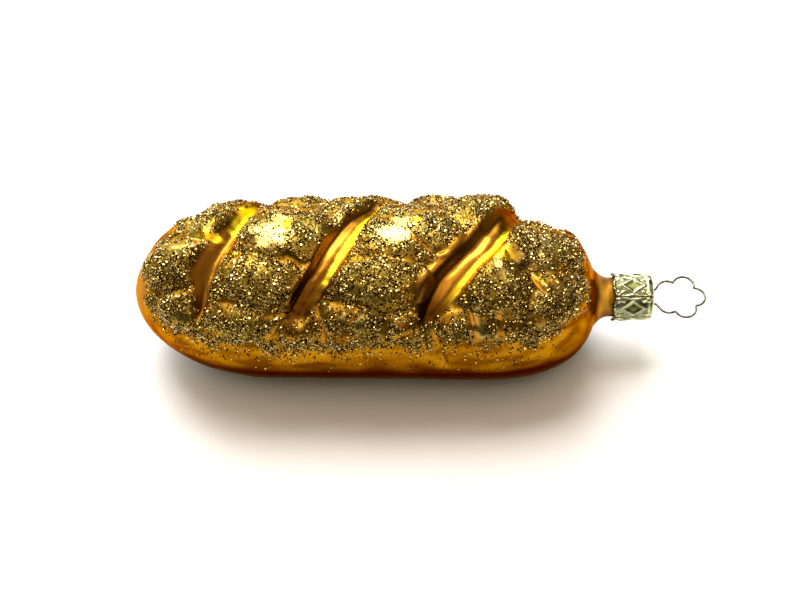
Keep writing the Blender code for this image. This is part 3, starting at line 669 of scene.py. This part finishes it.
# Glitter: small chips glued over the crust, a few strays on the plain band
glitter = {
    "grains": 36000, "strays": 600, "seed": 5, "radius": (0.00014, 0.00031), "sides": 5,
    "height": 0.45, "top": 0.7, "stretch": (0.65, 1.15), "tilt": 0.72, "tiltLeft": 0.7, "flipped": 0.5,
    "lift": (-0.00002, 0.00034), "bandHeight": ((0.0145, 0.0215), (0.0225, 0.026)),
    "bandShare": ((0.03, 0.1), (0.9, 0.96)), "pieces": ("tip", "second", "third", "heel"),
    "dark": (0.092, 0.058, 0.009), "middle": (0.44, 0.302, 0.067), "pale": (0.94, 0.73, 0.3),
    "toneShape": (0.95, 1.25), "speckle": (2500, 1), "speckleShade": (0.35, 0.7, 0, 0.45),
    "roughness": 0.16,
}


def makeGlitterFinish():
    look = glitter
    material, tree, shader = startMaterial("goldGlitter", 1, look["roughness"])
    colour = rampOf(tree, fieldOf(tree, "tone"),
                    ((0, look["dark"]), (0.45, look["middle"]), (1, look["pale"])))
    speckle = noiseOf(tree, objectPlace(tree), *look["speckle"])
    shaded = mixOf(tree, rangeOf(tree, speckle, *look["speckleShade"]), colour, look["dark"])
    feed(shader, "Base Color", shaded)
    return material


def fourSidedFaces(mesh):  # their corners, in an order that every run repeats
    corners = readNumbers(mesh.loops, "vertex_index", np.int32)
    starts, counts = (readNumbers(mesh.polygons, name, np.int32) for name in ("loop_start", "loop_total"))
    faces = corners[starts[counts == 4][:, None] + np.arange(4)]
    lowest = faces.argmin(axis=1)[:, None]
    faces = np.take_along_axis(faces, (lowest + np.arange(4)) % 4, axis=1)
    return faces[np.lexsort(faces.T[::-1])]


def dropGrains(mesh, density, count, rng):  # spots and outward directions of the grains
    faces = fourSidedFaces(mesh)
    quads = readPoints(mesh)[faces]
    facing = np.cross(quads[:, 2] - quads[:, 0], quads[:, 3] - quads[:, 1])
    weight = density[faces].mean(axis=1) * np.linalg.norm(facing, axis=1)
    chosen = rng.choice(len(faces), size=count, p=weight / weight.sum())
    quad = quads[chosen]
    u, v = rng.random((count, 1)), rng.random((count, 1))
    spots = ((quad[:, 0] * (1 - u) + quad[:, 1] * u) * (1 - v)
             + (quad[:, 3] * (1 - u) + quad[:, 2] * u) * v)
    return spots, unitRows(facing[chosen])


def grainTemplate():
    chip = bmesh.new()
    bmesh.ops.create_cone(chip, cap_ends=True, segments=glitter["sides"], radius1=1,
                          radius2=glitter["top"], depth=glitter["height"])
    return toMesh("grain", chip, smooth=False)


def repeatMesh(template, count):  # one mesh holding count copies, in order
    holder = placeObject("grainHolder", template)
    array = holder.modifiers.new("copies", "ARRAY")
    array.count = count
    array.use_merge_vertices = False
    return bakeMesh(holder)


def unitRows(rows):
    return rows / np.maximum(np.linalg.norm(rows, axis=1, keepdims=True), 1e-9)


def placeGrains(name, template, spots, normals, rng, material):
    s, count = glitter, len(spots)
    mesh = repeatMesh(template, count)
    tilt = rng.normal(0, s["tilt"], (count, 3)) * s["tiltLeft"]
    up = unitRows(unitRows(normals) + tilt)
    flip = rng.random(count) < s["flipped"]
    across = unitRows(np.cross(up, rng.normal(0, 1, (count, 3))))
    other = np.cross(up, across)
    radius = rng.uniform(*s["radius"], count)
    stretch = rng.uniform(*s["stretch"], count)
    lift = rng.uniform(*s["lift"], count)
    shape = readPoints(template)
    turned = np.where(flip, -radius, radius)  # the flipped ones lie the other way up
    x, y, z = (np.outer(size, shape[:, axis])[..., None]
               for axis, size in enumerate((radius * stretch, turned, turned)))
    middle = spots + normals * lift[:, None]
    points = middle[:, None] + x * across[:, None] + y * other[:, None] + z * up[:, None]
    writePoints(mesh, points.reshape(-1, 3))
    tone = rng.beta(*s["toneShape"], count)
    writeField(mesh, "tone", np.repeat(tone, len(shape)))
    mesh.materials.clear()
    mesh.materials.append(material)
    mesh.shade_flat()
    addPiece(name, mesh)
    return count


def makeGlitter():
    rng = np.random.default_rng(glitter["seed"])
    finish = makeGlitterFinish()
    template = grainTemplate()
    points = readPoints(loafMesh)
    share = points[:, 0] / loaf["length"] + 0.5
    band = (plateau(points[:, 2], *glitter["bandHeight"]) * (1 - readField(loafMesh, "inner"))
            * (1 - loafFields["grit"]) * plateau(share, *glitter["bandShare"]))
    drops = [dropGrains(loafMesh, density, glitter[kind], rng)
             for density, kind in ((loafFields["grit"], "grains"), (band, "strays"))]
    spots, normals = (np.concatenate(parts) for parts in zip(*drops))
    share = spots[:, 0] / loaf["length"] + 0.5
    degrees = np.degrees(np.arctan2(spots[:, 1], spots[:, 2] - loaf["height"] / 2))
    segment = sum((share > cutPlace(cut, degrees)).astype(int) for cut in cuts)
    for number, place in enumerate(glitter["pieces"]):
        mine = segment == number
        made = placeGrains("glitter_" + place, template, spots[mine], normals[mine], rng, finish)
        print("glitter", place + ":", made, "grains")


makeGlitter()


# Stamped cap
cap = {
    "rim": 0.0594, "top": 0.0694, "innerRadius": 0.0051, "radius": 0.0054, "sheet": 0.0003,
    "corner": 0.0009, "rimFlare": 0.0003, "panels": 6, "turn": -35, "scallop": 0.0008,
    "scallopFade": 0.0016, "stationStep": 0.00011, "stepsRound": 300, "innerSteps": 8, "cornerSteps": 12,
    "line": 0.0002, "lineHeight": 0.00026, "lozengeLength": 0.0068, "lozengeWidth": 0.0046,
    "lines": {"lozenge": (1, 1.25), "ring": (1, 0.8), "curl": (0.9, 0.8), "wave": (0.7, 0.7),
              "beads": (0.9, 1.1), "upper": (0.7, 1)},  # height and width of each, as shares
    "lozengeBow": 0.9, "lozengeEdge": 0.86, "lozengeSlope": 0.45, "hollowEdge": (0.54, 0.64),
    "ring": 0.0004, "ringInset": (0.0013, 0.00085), "curl": 0.0011, "curlInset": (0.0027, 0.0001),
    "curlEnd": (-0.0006, 0.0002), "waveInset": 0.00035, "waveSize": 0.0002, "beadLine": 0.0004,
    "upperLine": 0.0013, "beadsPerPanel": 5, "rimBeads": 7, "rimBeadSize": 0.0001, "hollowDepth": 0.4,
    "seamDepth": 0.00034, "seamWidth": 0.00012, "seamDark": 1.6, "rimShadow": (0.0001, 0.0005),
    "dentSize": 0.002, "dentDepth": 0.00003,
    "metal": (0.38, 0.4, 0.19), "bright": (0.93, 0.94, 0.6), "tarnishAndShadow": (0.012, 0.012, 0.006),
    "hollow": (0.11, 0.122, 0.04), "plateShare": 0.35, "clouds": (700, 4), "cloudEdge": (0.35, 0.65, 0, 1),
    "gloss": (0.3, 0.7, 0.22, 0.4), "grain": (3000, 2), "grainBump": (0.2, 0.00003),
}


def capRadiusAt(x):
    return cap["radius"] + cap["rimFlare"] * (cap["top"] - x) / (cap["top"] - cap["rim"])


def capProfile():  # inner top, down to the rim, round it and up the outer wall to the top
    s = cap
    innerTop, innerCorner = s["top"] - s["sheet"], s["corner"] - s["sheet"]
    points = [(innerTop, 0), (innerTop, s["innerRadius"] * 0.5)]
    for turn in (0, 30, 60, 90):
        lean = math.radians(turn)
        points.append((innerTop - innerCorner * (1 - math.cos(lean)),
                       s["innerRadius"] - innerCorner * (1 - math.sin(lean))))
    for i in range(1, s["innerSteps"] + 1):
        x = innerTop - innerCorner - (innerTop - innerCorner - s["rim"]) * i / s["innerSteps"]
        points.append((x, capRadiusAt(x) - s["sheet"]))
    points.append((s["rim"] - 0.00006, capRadiusAt(s["rim"]) - s["sheet"] / 2))
    wallTop = s["top"] - s["corner"]
    steps = round((wallTop - s["rim"]) / s["stationStep"])
    for i in range(steps):
        x = s["rim"] + (wallTop - s["rim"]) * i / steps
        points.append((x, capRadiusAt(x)))
    for i in range(s["cornerSteps"] + 1):
        lean = math.radians(90 - 90 * i / s["cornerSteps"])
        points.append((s["top"] - s["corner"] * (1 - math.cos(lean)),
                       s["radius"] - s["corner"] * (1 - math.sin(lean))))
    for share in (0.75, 0.6, 0.45, 0.3, 0.15, 0):
        points.append((s["top"], (s["radius"] - s["corner"]) * share))
    return points


def raisedLine(name, away):  # one of the stamped lines, at a distance from its middle
    height, width = cap["lines"][name]
    return height * bead(away, cap["line"] * width)


def capRelief(along, across):  # height from 0 to 1, and how far sunk, from the place in one panel
    s = cap
    length = s["top"] - s["rim"]
    fromMiddle = along - length / 2
    a, b = s["lozengeLength"] / 2, s["lozengeWidth"] / 2
    level = (np.abs(fromMiddle) / a) ** s["lozengeBow"] + (np.abs(across) / b) ** s["lozengeBow"]
    slope = 1 / (s["lozengeSlope"] * (a + b))
    raised = [raisedLine("lozenge", (level - s["lozengeEdge"]) / slope)]
    half = math.pi * s["radius"] / s["panels"]
    for end, side in ((-1, -1), (-1, 1), (1, -1), (1, 1)):
        ringX, ringY = end * (length / 2 - s["ringInset"][0]), side * (half - s["ringInset"][1])
        ring = np.hypot(fromMiddle - ringX, across - ringY)
        curlX, curlY = end * (length / 2 - s["curlInset"][0]), side * (half - s["curlInset"][1])
        curl = np.hypot(fromMiddle - curlX, across - curlY)
        raised.append(raisedLine("ring", ring - s["ring"]))
        raised.append(raisedLine("curl", curl - s["curl"])
                      * ease(end * (fromMiddle - curlX), *s["curlEnd"]))
    for side in (-1, 1):
        wave = side * (half - s["waveInset"] - s["waveSize"] * np.cos(fromMiddle / length * 4 * math.pi))
        raised.append(raisedLine("wave", across - wave))
    beads = 0.6 + 0.4 * np.cos(across / half * s["beadsPerPanel"] * math.pi)
    raised.append(raisedLine("beads", along - s["beadLine"]) * beads)
    raised.append(raisedLine("upper", along - length + s["upperLine"]))
    return np.maximum.reduce(raised), 1 - ease(level, *s["hollowEdge"])


def shapeCap(mesh):
    s = cap
    points = readPoints(mesh)
    x = points[:, 0]
    radius = np.hypot(points[:, 1], points[:, 2])
    angle = np.degrees(np.arctan2(points[:, 1], points[:, 2]))
    panel = 360 / s["panels"]
    local = np.mod(angle, panel) - panel / 2  # 0 in the middle of a panel, folds at both ends
    across = np.radians(local) * s["radius"]
    outerWall = ease(radius, s["radius"] * 0.985 - s["corner"] * 0.3, s["radius"] * 0.995) * (
        radius > capRadiusAt(x) - s["sheet"] * 0.5)
    along = x - s["rim"]
    relief, sunk = (part * outerWall for part in capRelief(along, across))
    half = math.radians(panel / 2) * s["radius"]
    seam = bead(np.abs(across) - half, s["seamWidth"]) * outerWall
    dent = s["dentDepth"] * np.array([noise.noise(Vector(p) / s["dentSize"]) for p in points])
    radius = (radius + s["lineHeight"] * relief
              - s["seamDepth"] * np.maximum(seam, s["hollowDepth"] * sunk) + dent * outerWall)
    notch = 1 - np.abs(np.sin(np.radians(angle) * s["panels"] / 2))
    beads = s["rimBeadSize"] * np.cos(np.radians(angle) * s["panels"] * s["rimBeads"])
    x = x + (s["scallop"] * notch + beads) * (1 - ease(along, 0, s["scallopFade"]))
    turned = np.radians(angle + s["turn"])
    points[:, 0] = x
    points[:, 1] = radius * np.sin(turned)
    points[:, 2] = loaf["neckHeight"] + radius * np.cos(turned)
    writePoints(mesh, points)
    # a painted shadow along the wall just above the rim, where the gap under it is in shade; it takes the
    # tarnish colour with the seam
    rimShadow = outerWall * (1 - ease(along, *s["rimShadow"]))
    fields = {"relief": relief - seam, "sunk": sunk, "seam": np.maximum(seam * s["seamDark"], rimShadow),
              "wallSide": outerWall}
    for name, values in fields.items():
        writeField(mesh, name, np.clip(values, 0, 1))


def makeCapFinish():
    look = cap
    material, tree, shader = startMaterial("paleGoldPlate", 1, 0.3)
    place = objectPlace(tree)
    clouds = noiseOf(tree, place, *look["clouds"])
    # the stamped lines are painted lighter than the plate between them, a painted highlight and shade that
    # follow the relief
    plate = rampOf(tree, fieldOf(tree, "relief"),
                   ((0, look["tarnishAndShadow"]), (0.35, look["metal"]), (1, look["bright"])))
    flat = mixOf(tree, rangeOf(tree, clouds, *look["cloudEdge"]), look["metal"], look["bright"])
    outside = mixOf(tree, look["plateShare"], plate, flat)
    colour = layersOf(tree, flat, (("wallSide", outside), ("sunk", look["hollow"]),
                                   ("seam", look["tarnishAndShadow"])))
    feed(shader, "Base Color", colour)
    feed(shader, "Roughness", rangeOf(tree, clouds, *look["gloss"]))
    feed(shader, "Normal", bumpOf(tree, noiseOf(tree, place, *look["grain"]), *look["grainBump"]))
    return material


def makeCap():
    mesh = toMesh("stampedCap", spinAboutX(capProfile(), cap["stepsRound"]))
    shapeCap(mesh)
    mesh.materials.append(makeCapFinish())
    addPiece("stampedCap", mesh, ["metal_cap"])
    print("cap:", len(mesh.polygons), "faces")


makeCap()


# Wire loop with two legs down the neck
hanger = {
    "radius": 0.0003, "footSpacing": 0.0042, "lobes": 5, "reach": 0.00615, "length": 0.013,
    "lobeTurn": 90, "loopEnd": 155, "footLean": 60, "sharpCorner": 35, "bendReach": 0.00055,
    "wallGap": 0.0004, "pastNeck": 0.0031, "spread": 0.0092, "lobeSteps": 18, "bendSteps": 6,
    "roundness": 4, "metal": (0.2, 0.185, 0.145), "dull": (0.05, 0.043, 0.032), "clouds": (900, 3),
    "gloss": (0.3, 0.7, 0.16, 0.34),
}


def bendCorners(points):
    bent = [points[0]]
    for before, corner, after in zip(points, points[1:], points[2:]):
        arrive, leave = corner - before, after - corner
        if arrive.angle(leave) < math.radians(hanger["sharpCorner"]):
            bent.append(corner)
            continue
        start = corner - arrive.normalized() * min(hanger["bendReach"], arrive.length / 2)
        finish = corner + leave.normalized() * min(hanger["bendReach"], leave.length / 2)
        for step in range(hanger["bendSteps"] + 1):
            t = step / hanger["bendSteps"]
            bent.append(start * (1 - t) ** 2 + corner * 2 * t * (1 - t) + finish * t * t)
    bent.append(points[-1])
    return bent


def hangerLine():  # the wire's middle, as (along X, across Y)
    s = hanger
    halfGap = s["footSpacing"] / 2
    halfLobe = math.pi / s["lobes"]
    turn = math.radians(s["lobeTurn"])
    lobeRadius = s["reach"] / (1 + math.sin(turn) / math.tan(halfLobe) - math.cos(turn))
    lobeOffset = s["reach"] - lobeRadius
    middleX = cap["top"] + s["length"] - s["reach"]
    alongNeck = loaf["neckRadius"] - loaf["wall"] - s["wallGap"] - s["radius"]
    neckX, mouthX = loaf["length"] / 2, cap["top"] - 2 * cap["sheet"]
    leg = [(neckX - s["pastNeck"], s["spread"] / 2), (neckX + loaf["neckFlare"], alongNeck),
           ((cap["rim"] + cap["top"]) / 2, alongNeck), (mouthX - cap["corner"], halfGap),
           (cap["top"], halfGap)]
    half = []
    for lobe in range((s["lobes"] - 1) // 2, -1, -1):
        facing = 2 * halfLobe * lobe
        centre = Vector((middleX + lobeOffset * math.cos(facing), lobeOffset * math.sin(facing)))
        for i in range(s["lobeSteps"] + 1):
            heading = facing + turn - 2 * turn * i / s["lobeSteps"]
            pastMiddle = lobe == 0 and i > s["lobeSteps"] / 2
            if heading > math.radians(s["loopEnd"]) or pastMiddle:
                continue
            point = centre + Vector((math.cos(heading), math.sin(heading))) * lobeRadius
            if not half or (point - half[-1]).length > 0.00001:
                half.append(point)
    drop = (half[0].y - halfGap) / math.tan(math.radians(s["footLean"]))
    way = [Vector(spot) for spot in leg] + [Vector((half[0].x - drop, halfGap))] + half
    return way + [Vector((point.x, -point.y)) for point in reversed(way) if point.y > 0.00001]


def makeWireFinish():
    look = hanger
    material, tree, shader = startMaterial("bentWire", 1, 0.22)
    clouds = noiseOf(tree, objectPlace(tree), *look["clouds"])
    feed(shader, "Base Color", rampOf(tree, clouds, ((0.35, look["dull"]), (0.6, look["metal"]))))
    feed(shader, "Roughness", rangeOf(tree, clouds, *look["gloss"]))
    return material


def makeHanger():
    curve = bpy.data.curves.new("wire", "CURVE")
    curve.dimensions = "3D"
    curve.bevel_depth = hanger["radius"]
    curve.bevel_resolution = hanger["roundness"]
    curve.use_fill_caps = True
    line = bendCorners(hangerLine())
    spline = curve.splines.new("POLY")
    spline.points.add(len(line) - 1)
    for spot, point in zip(spline.points, line):
        spot.co = (point.x, point.y, loaf["neckHeight"], 1)
    tube = bmesh.new()
    tube.from_mesh(bakeMesh(placeObject("wire", curve)))
    bmesh.ops.remove_doubles(tube, verts=tube.verts, dist=0.000001)
    bmesh.ops.recalc_face_normals(tube, faces=tube.faces)
    mesh = toMesh("wireLoop", tube)
    mesh.materials.append(makeWireFinish())
    addPiece("wireLoop", mesh, ["wire_hanger"])
    print("hanger:", len(mesh.polygons), "faces")


makeHanger()


# Studio: pale floor, window light from the back left, low side lights, a warm ceiling and a weak warm
# light from the front, in a dim room
studio = {
    "floorSize": 6, "floorDrop": 0.0001, "floorColour": (0.93, 0.93, 0.93),
    "world": (1, 0.98, 0.95), "worldStrength": 0.02,
    "target": (0.008, 0, 0.0152), "elevation": 55, "distance": 0.4888, "lens": 90,
    "lights": (  # name, azimuth from the back towards the left, elevation, distance, width, height,
                 # brightness of the panel, colour
        ("sideLeft", 60, 12, 1.1, 1.2, 0.5, 1.5, (1, 0.97, 0.9)),
        ("key", 18, 60, 1.1, 0.8, 0.7, 8, (1, 1, 1)),
        ("windowFoot", 16, 24, 1.1, 0.9, 0.5, 4.2, (1, 1, 1)),
        ("sideRight", -70, 13, 1.1, 0.9, 0.6, 0.4, (1, 0.92, 0.8)),
        ("ceiling", 0, 89, 1.1, 2, 1, 0.85, (1, 0.78, 0.56)),
        ("frontFill", 180, 58, 1.1, 0.7, 0.45, 1.5, (1, 0.82, 0.54)),
    ),
}


def makeFloor():
    plane = bmesh.new()
    half = studio["floorSize"] / 2
    bmesh.ops.create_grid(plane, x_segments=1, y_segments=1, size=half,
                          matrix=Matrix.Translation((0, 0, -studio["floorDrop"])))
    mesh = toMesh("floor", plane, smooth=False)
    material, _, shader = startMaterial("paleFloor", 0, 0.9)
    setInputs(shader, ("Base Color", "Specular IOR Level"), ((*studio["floorColour"], 1), 0.1))
    mesh.materials.append(material)
    placeObject("floor", mesh)


def aim(obj, spot):
    away = (obj.location - spot).normalized()
    obj.rotation_euler = away.to_track_quat("Z", "Y").to_euler()


def makeLights():
    target = Vector(studio["target"])
    for name, azimuth, elevation, distance, width, height, brightness, colour in studio["lights"]:
        light = bpy.data.lights.new(name, "AREA")
        light.shape = "RECTANGLE"
        light.size, light.size_y = width, height
        light.energy = 4 * brightness * width * height
        light.color = colour
        lamp = placeObject(name, light)
        turn, rise = math.radians(azimuth), math.radians(elevation)
        lamp.location = target + distance * Vector((-math.sin(turn) * math.cos(rise),
                                                    math.cos(turn) * math.cos(rise), math.sin(rise)))
        aim(lamp, target)
    world = bpy.data.worlds.new("dimRoom")
    world.use_nodes = True
    ground = world.node_tree.nodes["Background"]
    setInputs(ground, ("Color", "Strength"), ((*studio["world"], 1), studio["worldStrength"]))
    bpy.context.scene.world = world


def makeCamera():
    target = Vector(studio["target"])
    lens = bpy.data.cameras.new("camera")
    lens.lens = studio["lens"]
    lens.sensor_width = 36
    lens.clip_start = 0.01
    camera = placeObject("camera", lens)
    rise = math.radians(studio["elevation"])
    camera.location = target + studio["distance"] * Vector((0, -math.cos(rise), math.sin(rise)))
    aim(camera, target)
    bpy.context.scene.camera = camera


makeFloor()
makeLights()
makeCamera()
bpy.context.scene.view_settings.view_transform = "Standard"
print("studio ready")
